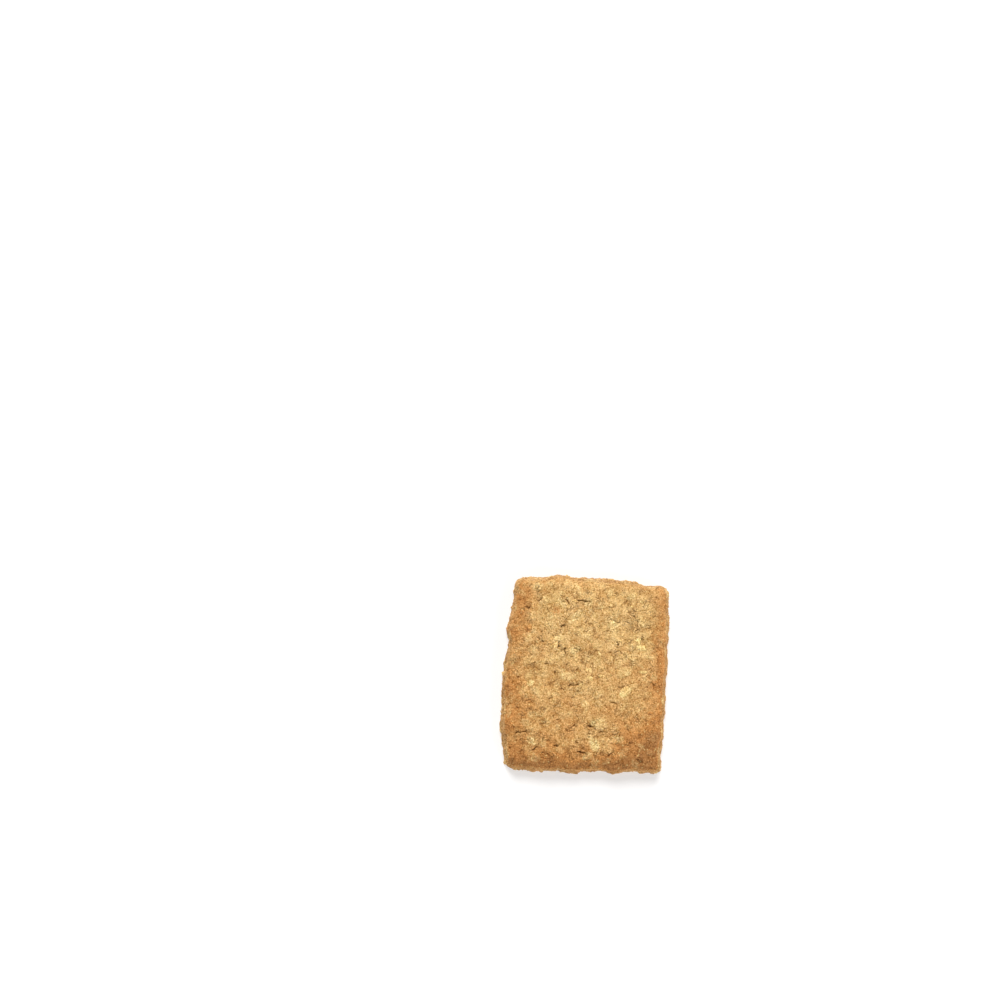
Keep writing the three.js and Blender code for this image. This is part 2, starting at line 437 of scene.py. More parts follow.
def press_flake(vertex, half_length, half_width, turn, paleness, lift):
    """Inside the ellipse the skin rises by lift, less towards the edge. A groove follows the edge and a
    crease the long axis, both bell curves."""
    near = np.flatnonzero(((smooth - smooth[vertex]) ** 2).sum(axis=1) < (1.6 * half_length) ** 2)
    away = smooth[near] - smooth[vertex]
    along, across = surface_frame(vertex, turn)
    u, v = away @ along, away @ across
    out = np.hypot(u / half_length, v / half_width) + edge_wobble[near]
    inside = smoothstep(1.08, 0.84, out)
    groove = np.exp(-(((out - 1.1) / 0.13) ** 2))
    crease = np.exp(-((v / 0.16) ** 2)) * smoothstep(0.9, 0.6, out)
    relief[near] += inside * lift * (1 - 0.45 * out**2) - 0.5 * lift * groove - 0.35 * lift * crease
    soft = smoothstep(1.3, 0.6, out) * (0.4 + 0.6 * broken[near])
    pale[near] = np.maximum(pale[near], soft * paleness * (1.1 - 0.3 * crease))


PLACED_LIFT = 0.12
for x, y, *shape in PALE_FLAKES:
    press_flake(nearest_on_top(x, y), *shape, PLACED_LIFT)
print("the skin is at its palest", pale.max().round(2))

# %% Flakes anywhere
FLAKES_ON_TOP = 170
FLAKES_ON_WALL = 110
draw = np.random.default_rng(21)
for vertex in draw.choice(np.flatnonzero(on_top > 0.9), FLAKES_ON_TOP, replace=False):
    half_length = draw.uniform(1.1, 2.4)
    half_width = half_length * draw.uniform(0.5, 0.75)
    turn, paleness, lift = draw.uniform((0, 0, 0.05), (180, 0.28, 0.2))
    press_flake(vertex, half_length, half_width, turn, paleness, lift)
for vertex in draw.choice(np.flatnonzero(on_wall > 0.9), FLAKES_ON_WALL, replace=False):
    half_length, half_width = draw.uniform((0.9, 0.25), (2.2, 0.6))
    turn = draw.normal(0, 12)
    paleness, lift = draw.uniform((0, 0.08), (0.55, 0.25))
    press_flake(vertex, half_length, half_width, turn, paleness, lift)
print(FLAKES_ON_TOP + FLAKES_ON_WALL, "flakes anywhere")

# %% [markdown]
# ## Cracks and pits
#
# As the crust sets before the middle has dried, the top tears in short, wandering cracks, and steam leaves
# small pits. A crack is finer than the mesh, so the mesh gets only a soft furrow. Each vertex also keeps
# how far it is to the side of the crack's line, and from that the material paints the sharp slit dark, as
# the crack's painted shade.

# %% Cracks that show
# (x, y, length, turn in degrees, depth), in mm on the top.
CRACKS = [
    (-2.4, 23.5, 5.2, -5, 0.6), (-6.4, 22.3, 4.6, -62, 0.42), (7.6, 21.8, 2.6, 3, 0.28),
    (18.0, 23.2, 2.8, 65, 0.28), (-19.4, 20.5, 1.8, -38, 0.42), (14.7, 19.1, 1.8, -46, 0.38),
    (8.2, 17.6, 4.6, -6, 0.34), (12.4, 17.0, 3.2, -13, 0.3), (-0.3, 17.4, 2.2, 54, 0.3),
    (-7.8, 15.1, 1.8, 33, 0.42), (-0.2, 14.2, 2.6, 69, 0.3), (7.0, 14.4, 2.6, -12, 0.28),
    (-15.3, 10.9, 1.6, -50, 0.36), (9.8, 10.4, 1.6, 81, 0.44), (-9.1, 9.0, 3.2, 84, 0.42),
    (-6.9, 7.1, 2.2, -66, 0.34), (9.6, 7.8, 2.0, 26, 0.34), (15.0, 8.4, 2.0, 26, 0.28),
    (3.2, 7.9, 1.8, -5, 0.28), (-3.2, -3.4, 5.6, 8, 0.42), (11.7, -3.1, 2.8, 23, 0.32),
    (21.4, -1.9, 3.8, -30, 0.26), (9.4, -8.5, 3.2, -12, 0.36), (-19.2, -13.9, 1.8, 22, 0.28),
    (2.3, -16.1, 2.2, 6, 0.5), (6.2, -17.5, 2.6, 8, 0.32), (-4.0, -17.9, 3.2, 4, 0.32),
    (10.8, -18.3, 3.0, 22, 0.3), (-19.6, -19.1, 4.8, 12, 0.42), (-12.8, -20.8, 1.8, 80, 0.28),
    (14.0, -21.5, 3.0, 14, 0.28), (-8.4, -23.0, 1.8, -20, 0.34), (-15.2, -24.0, 3.4, 28, 0.4),
    (-0.2, -24.4, 3.6, -6, 0.52), (1.6, -26.8, 2.0, 8, 0.26), (-12.5, -16.2, 2.0, 24, 0.26),
]
print("the longest crack is", max(row[2] for row in CRACKS), "mm")

# %% Open the cracks
FURROW = 0.24  # half its width
crack_side = np.ones(len(smooth))
crack_open = np.zeros(len(smooth))
top_only = smoothstep(0.2, 0.5, normal[:, 2])
wander = 0.55 * noise(smooth, 1.9, 31) + 0.3 * noise(smooth, 0.9, 32)


def open_crack(x, y, length, turn, depth):
    """A bell-shaped furrow that wanders to the sides of its line and closes at both ends. Its lips stand
    up a little."""
    away = smooth[:, :2] - (x, y)
    near = np.flatnonzero((away**2).sum(axis=1) < (0.5 * length + 1.2) ** 2)
    angle = np.radians(turn)
    u = away[near] @ (np.cos(angle), np.sin(angle))
    v = away[near] @ (-np.sin(angle), np.cos(angle)) + wander[near]
    closing = smoothstep(0.52, 0.25, np.abs(u) / length) * top_only[near]
    relief[near] -= depth * np.exp(-((v / FURROW) ** 2)) * closing
    relief[near] += 0.25 * depth * np.exp(-(((np.abs(v) - 0.6) / 0.3) ** 2)) * closing
    opening = closing * smoothstep(1.0, 0.6, np.abs(v)) * min(1, depth / 0.6)
    wider = opening > crack_open[near]
    crack_open[near[wider]] = opening[wider]
    crack_side[near[wider]] = np.clip(v[wider], -1, 1)


for crack in CRACKS:
    open_crack(*crack)
SMALL_CRACKS = 110
for x, y in draw.uniform(-0.92, 0.92, (SMALL_CRACKS, 2)) * HALF:
    open_crack(x, y, draw.uniform(1.0, 2.8), draw.normal(0, 38), draw.uniform(0.1, 0.3))
print(len(CRACKS) + SMALL_CRACKS, "cracks")

# %% Pits
PLACED_PITS = [
    (-7.5, 15.2), (-14.0, 10.2), (-8.8, 8.8), (-6.7, 8.0),
    (9.9, 10.0), (-9.7, 0.5), (2.4, -16.1), (-0.6, -24.4),
]
PLACED_RADIUS, PLACED_DEPTH = 0.3, 0.4
TOP_PITS, WALL_PITS = 400, 260
# The material paints crevices and pits darker by this number, as painted shade.
hollow = 0.4 * torn_wall + 0.45 * torn_top
hosts = [nearest_on_top(x, y) for x, y in PLACED_PITS]
hosts += draw.choice(np.flatnonzero(on_top > 0.5), TOP_PITS, replace=False).tolist()
hosts += draw.choice(np.flatnonzero((on_wall > 0.5) & (share > 0.06)), WALL_PITS, replace=False).tolist()
for count, vertex in enumerate(hosts):
    radius, depth = PLACED_RADIUS, PLACED_DEPTH
    if count >= len(PLACED_PITS):
        radius, depth = draw.uniform(0.1, 0.24), draw.uniform(0.1, 0.32)
    near = np.flatnonzero(((smooth - smooth[vertex]) ** 2).sum(axis=1) < 1)
    along, across = surface_frame(vertex, draw.normal(0, 40))
    away = smooth[near] - smooth[vertex]
    pit = np.exp(-(((away @ along) / (1.6 * radius)) ** 2) - ((away @ across) / radius) ** 2)
    relief[near] -= depth * pit
    hollow[near] = np.maximum(hollow[near], smoothstep(0.25, 0.85, pit) * depth / 0.36)
print(len(hosts), "pits")

# %% [markdown]
# ## Bake it
#
# The relief moves each vertex along its normal. The underside lay on the tray, so nothing there goes below
# zero: it only gains shallow pores. Its sharp edge moves in and out but stays on the tray. The highest
# lumps are held down, so that they stay close to the solid's height.

# %% Move the vertices
HEADROOM = 0.1  # the crust is held down from this far below the solid's highest point
HOLD_DOWN = 0.75  # and this share of what stands above that is taken off
PORE_HEIGHT = 0.3
under = share == 0
tray_edge = under & (on_wall > 0.1)
outward = normal * (1, 1, 0)
outward /= np.maximum(np.linalg.norm(outward, axis=1, keepdims=True), 1e-6)
pores = np.clip(noise(smooth, 1.1, 41) - 0.12, 0, None)
shift = normal * relief[:, None]
off_edge = smoothstep(0, 0.8, HALF[0] - np.abs(box_x))
shift[under] = (0, 0, 1) * (PORE_HEIGHT * pores * off_edge)[under, None]
shift[tray_edge] = outward[tray_edge] * np.clip(1.1 * relief[tray_edge, None], -0.4, 0.35)
baked = smooth + shift
over = np.clip(baked[:, 2] - (high[2] - HEADROOM), 0, None)
baked[:, 2] = np.clip(baked[:, 2] - HOLD_DOWN * over, 0, None)
crust.data.vertices.foreach_set("co", (baked * MM).ravel())
crust.data.update()
skin = read_normals(crust)
print("baked box", np.round(baked.min(axis=0), 2), np.round(baked.max(axis=0), 2), "mm")

# %% [markdown]
# ## A map of the skin
#
# A flat map lets the finish be baked to pictures later. Each part of the skin is laid out by measure: the
# top as an oblong, the four walls as strips beside it, and the underside smaller, since it is seldom seen.

# %% Unroll the skin
SHOULDER_ARC = 3.28
MAP_SIDE = 77.5
MAP_GAP = 0.7
UNDER_SCALE = 0.4
inner_x, inner_y = (np.abs(count).max() - RIM_CELLS for count in (count_x, count_y))


def unrolled(count, inner, half):
    """Distance over the surface from the middle, with the shoulder laid flat."""
    even = (half - SHOULDER_WIDTH) * np.clip(np.abs(count) / inner, 0, 1)
    return np.sign(count) * (even + SHOULDER_ARC * np.clip(np.abs(count) - inner, 0, None) / RIM_CELLS)


flat_x = unrolled(count_x, inner_x, HALF[0])[all_i]
flat_y = unrolled(count_y, inner_y, HALF[1])[all_j]
down = (1 - share) * WALL_HEIGHT * 1.05
top_w, top_h = flat_x.max() * 2, flat_y.max() * 2
wall_w = down.max()
strip = wall_w + MAP_GAP
layouts = {
    TOP: (flat_x + top_w / 2 + MAP_GAP, flat_y + top_h / 2 + MAP_GAP),
    LOWER: (box_x + HALF[0] + MAP_GAP, top_h + 2 * MAP_GAP + wall_w - down),
    UPPER: (box_x + HALF[0] + MAP_GAP, top_h + 2 * MAP_GAP + strip + down),
    LEFT: (box_y + HALF[1] + MAP_GAP, top_h + 2 * MAP_GAP + 2 * strip + down),
    RIGHT: (MAP_SIDE - MAP_GAP - down, box_y + HALF[1] + MAP_GAP),
    UNDER: (
        top_w + 2 * MAP_GAP + (HALF[0] - box_x) * UNDER_SCALE,
        MAP_GAP + (box_y + HALF[1]) * UNDER_SCALE,
    ),
}
print("the top unrolls to", top_w.round(1), "by", top_h.round(1), "mm")


# %% Store the map
def set_map(piece, corner_places):
    """Store one flat-map place for each face corner."""
    layer = piece.data.uv_layers.new(name="OFBake")
    layer.uv.foreach_set("vector", np.asarray(corner_places, np.float32).ravel())


corner_vertex = np.concatenate([top_faces.ravel(), wall_faces.ravel(), np.concatenate(under_faces)])
corner_part = np.repeat(face_part, [len(face) for face in faces])
corner_map = np.empty((len(corner_vertex), 2))
for part, (u, v) in layouts.items():
    at = corner_part == part
    corner_map[at, 0], corner_map[at, 1] = u[corner_vertex[at]], v[corner_vertex[at]]
set_map(crust, corner_map / MAP_SIDE)
print("map used to", np.round(corner_map.max(axis=0) / MAP_SIDE, 3))

# %% [markdown]
# ## What the finish needs to know
#
# Numbers are stored at each vertex, for the material to read: how browned the crust is, with painted shade
# added at the lower end, how light the dough is, where sunken places are painted darker as shade and raised
# ones lighter as painted light, how much pale oat shows, how much it counts as wall or top, how deep it lies
# in a hollow, which is painted dark as shade, and how far it is from a crack and how open that is. The rim
# browns first, as heat reaches it from two sides.

# %% How browned it is, with painted shade at the lower end
def bell(distance, width):
    """A bell curve: 1 at no distance, falling to almost nothing at twice the width."""
    return np.exp(-((distance / width) ** 2))


rim_left, rim_right = HALF[0] + box_x, HALF[0] - box_x
rim_lower, rim_upper = HALF[1] + box_y, HALF[1] - box_y
left_browning = 0.48 + 0.2 * smoothstep(4, 18, box_y)  # more towards the upper corner
# (distance from the side, how browned it is there, how far in that reaches)
# The lower rim's strong browning is partly real browning and partly painted shade on the lower shoulder.
rims = [
    (rim_left, left_browning, 5.5), (rim_right, 0.55, 4.5),
    (rim_lower, 0.7, 4.5), (rim_upper, 0.25, 2.5),
]
rim = np.max([browning * bell(distance, reach) for distance, browning, reach in rims], axis=0)
# Painted shade: the top is darkened towards its lower end, more at the lower right, and stored with the
# browning.
painted_shade_lower_end = 0.27 * smoothstep(22, -22, smooth[:, 1]) + 0.26 * smoothstep(-19, -30, smooth[:, 1])
painted_shade_lower_right = 0.66 * smoothstep(4, 22, smooth[:, 0]) * smoothstep(-6, -24, smooth[:, 1])
patchy = 0.18 * noise(smooth, 9, 51) + 0.17 * noise(smooth, 3.4, 52)
toast = 1 - (1 - rim) * (1 - (painted_shade_lower_end + painted_shade_lower_right) * on_top) + patchy
# A few spots browned on their own, where sugar from the oats came to the surface.
BROWNED_SPOTS = [(-10.2, 19.9), (-18.8, 13.8), (-21.2, 18.8), (21.2, -11.4), (22.8, -13.6)]
SPOT_BROWNING, SPOT_REACH = 0.88, 1.2
for x, y in BROWNED_SPOTS:
    away = np.hypot(smooth[:, 0] - x, smooth[:, 1] - y) + 0.6 * edge_wobble
    toast = np.maximum(toast, SPOT_BROWNING * bell(away, SPOT_REACH) * on_top)
print("the rim browned by up to", rim.max().round(2))

# %% How light it is: painted shade in sunken places, painted light on raised ones
# Sunken places, such as gaps between grains, are painted darker as shade, and raised ones lighter as painted
# light. Some patches are lighter and some darker: (x, y, reach, how much lighter), in mm on the top.
PATCHES = [
    (-4.3, 20.2, 3.6, 0.16), (1.6, 20.4, 3.0, 0.08), (13.2, 18.0, 4.5, 0.15), (-9.6, 14.2, 3.0, 0.12),
    (-15.0, 8.2, 3.2, 0.13), (7.8, 9.3, 3.2, 0.12), (21.0, 0.0, 3.5, 0.10), (14.9, -19.1, 3.0, 0.13),
    (-12.5, 20.0, 3.4, -0.14), (-12.5, 25.5, 3.4, -0.13), (7.1, 26.4, 3.0, -0.13), (19.0, 19.0, 3.6, -0.14),
    (18.9, 12.0, 3.6, -0.14), (-14.7, 0.5, 3.5, -0.11), (-20.5, -3.5, 3.0, -0.10), (14.8, -7.6, 3.8, -0.13),
    (-14.2, -14.6, 3.0, -0.12), (-8.4, -23.0, 4.0, -0.09), (-21.0, -19.4, 2.4, -0.16),
]
LEVEL_TONE = 0.454  # where the skin is neither raised nor sunk. One half would hardly change its colour.
TONE_PER_MM = 0.65
DARKEST, LIGHTEST = 0.22, 0.61
# Painted shade and painted light: the lower the skin lies against its lumps, the darker its colour is made.
fine = relief - lumps - 0.5 * streaks * on_wall
tone = np.clip(LEVEL_TONE + TONE_PER_MM * fine, DARKEST, LIGHTEST)
for x, y, reach, lighter in PATCHES:
    away = np.hypot(smooth[:, 0] - x, smooth[:, 1] - y) + 3 * edge_wobble
    tone += lighter * bell(away, reach) * on_top
print(len(PATCHES), "patches, tone", tone.mean().round(2), "on average")

# %% Store the numbers
def store(piece, **numbers):
    """Keep named numbers, one for each vertex."""
    for name, values in numbers.items():
        layer = piece.data.attributes.new(name, "FLOAT", "POINT")
        layer.data.foreach_set("value", np.asarray(values, np.float32))


wall = on_wall * smoothstep(5.3, 3.6, smooth[:, 2] + 1.2 * noise(smooth, 2.6, 54))
UNDER_BROWNING = 0.5  # the tray browned the underside evenly
toast[under & ~tray_edge] = UNDER_BROWNING + patchy[under & ~tray_edge]
toast = np.clip(toast, 0, 0.9) * (1 - 0.6 * wall)
uneven = np.clip(0.3 + 0.7 * noise(smooth, 2.4, 53), 0, 0.6)
tray_pale = smoothstep(1.3, 0.1, smooth[:, 2]) * on_wall * uneven
pale = np.maximum(pale, tray_pale)
store(crust, toast=toast, pale=pale, wall=wall, top=on_top, hollow=hollow, tone=tone)
store(crust, side=crack_side, open=crack_open)
print("browned from", toast.min().round(2), "to", toast.max().round(2))

# %% [markdown]
# ## Colours and nodes
#
# Colours are written as hex values, the way a picture shows them. Light adds up in linear values, so one
# function turns each hex colour linear. Another adds a node with its settings and links.

# %% Helpers for every finish
def linear(hex_colour):
    """A hex colour as linear red, green, blue and alpha."""
    parts = [int(hex_colour[i : i + 2], 16) / 255 for i in (1, 3, 5)]
    return [p / 12.92 if p <= 0.04045 else ((p + 0.055) / 1.055) ** 2.4 for p in parts] + [1]


def add_node(tree, kind, inputs, output=0, **settings):
    """Add a node and set its settings. Its inputs are filled in order from the top with values or links,
    and None leaves one as it is. What comes back is one of its outputs."""
    made = tree.nodes.new("ShaderNode" + kind)
    for name, value in settings.items():
        setattr(made, name, value)
    for socket, value in zip([socket for socket in made.inputs if socket.enabled], inputs):
        if isinstance(value, bpy.types.NodeSocket):
            tree.links.new(value, socket)
        elif value is not None:
            socket.default_value = value
    return [socket for socket in made.outputs if socket.enabled][output]


def start_material(name, stored):
    """An empty material: its tree, its shader, the place on the object turned askew, which is the vector
    of its patterns, and the numbers that are stored on the mesh, by name."""
    material = bpy.data.materials.new(name)
    material.use_nodes = True
    tree = material.node_tree
    tree.nodes.clear()
    shader = tree.nodes.new("ShaderNodeBsdfPrincipled")
    finish = tree.nodes.new("ShaderNodeOutputMaterial")
    tree.links.new(shader.outputs["BSDF"], finish.inputs["Surface"])
    on_object = add_node(tree, "TexCoord", [], output=3)
    where = add_node(tree, "VectorRotate", [on_object, (0, 0, 0), ASKEW], rotation_type="EULER_XYZ")
    numbers = {key: add_node(tree, "Attribute", [], output=2, attribute_name=key) for key in stored}
    return material, tree, shader, where, numbers


def set_shader(tree, shader, values):
    """Give the shader its inputs by name. What a node gives is linked, and a number or colour is set on
    the shader's own socket."""
    for name, value in values.items():
        if isinstance(value, bpy.types.NodeSocket):
            tree.links.new(value, shader.inputs[name])
        else:
            shader.inputs[name].default_value = value


print("white is", linear("#ffffff"))

# %% [markdown]
# ## The crust
#
# Baked oat dough is a dry, matt, grainy solid. Fat gives it only a faint shine, so it is rough, with an
# index of refraction near 1.45 and a weak reflection. Its colour comes in patches: tan dough, yellow oats,
# orange-brown where the rim browned, and a duller tan on the cut walls. The lower end of the top is painted
# browner as painted shade. Every grain of meal, about half a millimetre wide, took the heat a little
# differently, so each is a little lighter or darker than the next. The light that reaches a gap between
# grains has already met dough, so a darker grain is a redder one too. Sunken places are painted darker and
# redder in the same way, as painted shade, and raised ones lighter, as painted light. Slits, pits, hairlines
# and hollows are painted dark brown as their shade.

# %% Palette and sizes
DOUGH = linear("#e8c07b")
DOUGH_DEEP = linear("#c69858")
# These two browning colours also paint shade at the lower end of the top.
TOASTED_AND_SHADE = linear("#c68948")
DEEP_BAKED_AND_SHADE = linear("#906338")
WALL_DOUGH = linear("#cda46c")
WALL_DEEP = linear("#b28650")
OAT = linear("#f3d98f")
BRAN = linear("#8a5a2e")
# Painted shade: the dark brown painted into slits, pits, hairlines, pinholes and hollows.
SHADE_BROWN = linear("#4a2404")
# A grain's colour is multiplied by a tint between these two, and so is the crust's, as painted shade in
# sunken places and painted light on raised ones. Both are linear, not hex colours.
DARKER = (0.6, 0.5, 0.3, 1)
LIGHTER = (1.33, 1.43, 1.72, 1)
# Sizes in mm. A patch is as wide as a flake. Real dust is finer, and is drawn this coarse so that it shows.
PATCH_SIZE = 3.4
MEAL_SIZE = 0.5
DUST_SIZE = 0.2
SLIT = 0.25  # half the width of a crack's dark slit
SHINE = 0.15
DRY_IOR = 1.45
print("the dough reflects", np.round(DOUGH[:3], 2), "of red, green and blue light")


# %% Patterns that every piece of oat shares
def bake_and_shade(tree, toast, colour):
    """The oven's two steps: first orange-brown, then deep brown. At the lower end of the top they also paint
    shade.
    """
    first = add_node(tree, "MapRange", [toast, 0.0, 0.62, 0.0, 1.0])
    second = add_node(tree, "MapRange", [toast, 0.6, 1.0, 0.0, 0.75])
    toasted = add_node(tree, "Mix", [first, colour, TOASTED_AND_SHADE], data_type="RGBA")
    return add_node(tree, "Mix", [second, toasted, DEEP_BAKED_AND_SHADE], data_type="RGBA")


def tint(tree, amount, colour):
    """The colour, darker and redder below an amount of one half, lighter and paler above it."""
    between = add_node(tree, "Mix", [amount, DARKER, LIGHTER], data_type="RGBA")
    return add_node(tree, "Mix", [1.0, colour, between], data_type="RGBA", blend_type="MULTIPLY")


def ruffled(tree, where):
    """The place, pushed about by noise, so that cells lose their straight sides."""
    push = add_node(tree, "TexNoise", [where, 1 / (0.7 * MM), 2.0], output=1)
    centred = add_node(tree, "VectorMath", [push, (0.5, 0.5, 0.5)], operation="SUBTRACT")
    return add_node(tree, "VectorMath", [centred, (0.45 * MM,) * 3, where], operation="MULTIPLY_ADD")


def meal_tone(tree, where, colour):
    """Soft round spots, one for each grain of meal, and dust between them. Each grain is lighter or darker
    at random, and a few are oat or bran."""
    distance = add_node(tree, "TexVoronoi", [where, 1 / (MEAL_SIZE * MM)])
    chances = distance.node.outputs["Color"]
    first = add_node(tree, "SeparateColor", [chances], output=0)
    second = add_node(tree, "SeparateColor", [chances], output=1)
    near = add_node(tree, "MapRange", [distance, 0.25, 0.65, 1.0, 0.0])
    grain = add_node(tree, "MapRange", [first, 0.0, 1.0, -0.6, 0.56])
    dust = add_node(tree, "TexNoise", [where, 1 / (2 * DUST_SIZE * MM), 2.0])
    dusty = add_node(tree, "MapRange", [dust, 0.25, 0.75, 0.08, 0.94])
    toned = tint(tree, add_node(tree, "Math", [grain, near, dusty], operation="MULTIPLY_ADD"), colour)
    is_oat = add_node(tree, "MapRange", [second, 0.9, 1.0, 0.0, 0.75])
    is_bran = add_node(tree, "MapRange", [second, 0.07, 0.01, 0.0, 0.6])
    oat_here = add_node(tree, "Math", [is_oat, near], operation="MULTIPLY")
    bran_here = add_node(tree, "Math", [is_bran, near], operation="MULTIPLY")
    with_oat = add_node(tree, "Mix", [oat_here, toned, OAT], data_type="RGBA")
    return add_node(tree, "Mix", [bran_here, with_oat, BRAN], data_type="RGBA")


def meal_height(tree, where):
    """Height in mm of grains and dust too fine for the mesh: cell distance for grains, noise for dust."""
    dome = add_node(tree, "TexVoronoi", [where, 1 / (MEAL_SIZE * MM)])
    dust = add_node(tree, "TexNoise", [where, 1 / (DUST_SIZE * MM), 3.0])
    dust_height = add_node(tree, "Math", [dust, 0.11], operation="MULTIPLY")
    return add_node(tree, "Math", [dome, -0.21, dust_height], operation="MULTIPLY_ADD")


print("grains", MEAL_SIZE, "mm wide and dust", DUST_SIZE, "mm")

# %% Baked oat dough
NUMBERS = ("toast", "pale", "wall", "top", "hollow", "tone", "side", "open")
crust_look, tree, shader, where, stored = start_material("baked oat dough", NUMBERS)
place = ruffled(tree, where)
patches = add_node(tree, "TexNoise", [where, 1 / (PATCH_SIZE * MM), 4.0, 0.55])
patchiness = add_node(tree, "MapRange", [patches, 0.3, 0.7, 0.0, 1.0])
top_dough = add_node(tree, "Mix", [patchiness, DOUGH_DEEP, DOUGH], data_type="RGBA")
wall_dough = add_node(tree, "Mix", [patchiness, WALL_DEEP, WALL_DOUGH], data_type="RGBA")
dough = add_node(tree, "Mix", [stored["wall"], top_dough, wall_dough], data_type="RGBA")
# The browning here also holds the painted shade at the lower end of the top.
browned_and_shaded = bake_and_shade(tree, stored["toast"], dough)
oats = add_node(tree, "Mix", [stored["pale"], browned_and_shaded, OAT], data_type="RGBA")
grainy = meal_tone(tree, place, oats)
# Painted shade and painted light: sunken places darker and redder, raised ones lighter and paler.
shaded = tint(tree, stored["tone"], grainy)
print(len(NUMBERS), "stored numbers are read")

# %% Slits and pits in it, painted dark as their shade
jitter = add_node(tree, "TexNoise", [where, 1 / (0.4 * MM), 2.0])
sideways = add_node(tree, "MapRange", [jitter, 0.2, 0.8, -0.3, 0.3])
jagged = add_node(tree, "Math", [stored["side"], sideways])
from_line = add_node(tree, "Math", [jagged], operation="ABSOLUTE")
widths = add_node(tree, "TexNoise", [place, 1 / (0.6 * MM), 1.0])
ragged = add_node(tree, "MapRange", [widths, 0.3, 0.65, 0.25 * SLIT, 1.15 * SLIT])
half_open = add_node(tree, "Math", [stored["open"], ragged], operation="MULTIPLY")
in_slit = add_node(tree, "MapRange", [from_line, half_open, 0.03, 0.0, 1.0])
darker = add_node(tree, "Math", [in_slit, stored["open"], 0.3], operation="MULTIPLY_ADD")
no_more = add_node(tree, "Math", [darker, in_slit], operation="MINIMUM")
is_cracked = add_node(tree, "MapRange", [stored["open"], 0.05, 0.15, 0.0, 1.0])
slit = add_node(tree, "Math", [no_more, is_cracked], operation="MULTIPLY")
print("a slit is up to", round(2.3 * SLIT, 2), "mm wide")

# %% Hairlines between lumps, and pinholes, painted dark as their shade
HAIRLINE_SPACING = 3.0
winding = add_node(tree, "TexNoise", [place, 1 / (HAIRLINE_SPACING * MM), 4.0, 0.6])
from_half = add_node(tree, "Math", [add_node(tree, "Math", [winding, -0.5])], operation="ABSOLUTE")
hairline = add_node(tree, "MapRange", [from_half, 0.016, 0.003, 0.0, 0.55])
lengths = add_node(tree, "TexNoise", [where, 1 / (1.9 * MM), 1.0])
broken_off = add_node(tree, "MapRange", [lengths, 0.5, 0.58, 0.0, 1.0])
on_the_top = add_node(tree, "Math", [broken_off, stored["top"]], operation="MULTIPLY")
hair = add_node(tree, "Math", [hairline, on_the_top], operation="MULTIPLY")
PIN_SPACING = 1.1
pin_distance = add_node(tree, "TexVoronoi", [place, 1 / (PIN_SPACING * MM)])
pin_chance = add_node(tree, "SeparateColor", [pin_distance.node.outputs["Color"]])
in_pin = add_node(tree, "MapRange", [pin_distance, 0.19, 0.1, 0.0, 0.8])
has_pin = add_node(tree, "MapRange", [pin_chance, 0.5, 0.6, 0.0, 1.0])
pin = add_node(tree, "Math", [in_pin, has_pin], operation="MULTIPLY")
# Painted shade: pinholes, hairlines, slits and hollows are mixed towards the dark brown.
fine_gap = add_node(tree, "Math", [pin, hair], operation="MAXIMUM")
gap = add_node(tree, "Math", [fine_gap, slit], operation="MAXIMUM")
dark = add_node(tree, "Math", [gap, stored["hollow"]], operation="MAXIMUM")
shade = add_node(tree, "Math", [dark, 0.88], operation="MULTIPLY")
coloured = add_node(tree, "Mix", [shade, shaded, SHADE_BROWN], data_type="RGBA")
print("a pinhole about every", 2 * PIN_SPACING, "mm")

# %% Its height, its dryness, and its place in the object
depth = add_node(tree, "Math", [slit, 2.0, fine_gap], operation="MULTIPLY_ADD")
height = add_node(tree, "Math", [depth, -0.14, meal_height(tree, place)], operation="MULTIPLY_ADD")
rough = add_node(tree, "MapRange", [jitter, 0.3, 0.7, 0.66, 0.95])
bump = add_node(tree, "Bump", [1.0, MM, None, height])
set_shader(tree, shader, {"Base Color": coloured, "Normal": bump, "Roughness": rough})
set_shader(tree, shader, {"IOR": DRY_IOR, "Specular IOR Level": SHINE})
crust.data.materials.append(crust_look)
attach(crust, "root")
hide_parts("oatcake")
print(crust_look.name, "has", len(tree.nodes), "nodes")

# %% [markdown]
# ## Crumbs and flakes that stand out
#
# Some grains sit on the skin instead of in it, and some flakes break through it, flat on the top and edge
# on along the wall. All of them start as one ball on a grid of latitude and longitude. It is squashed and
# dented at random, then set into the skin. Small grains get few points, so thousands of them stay light.

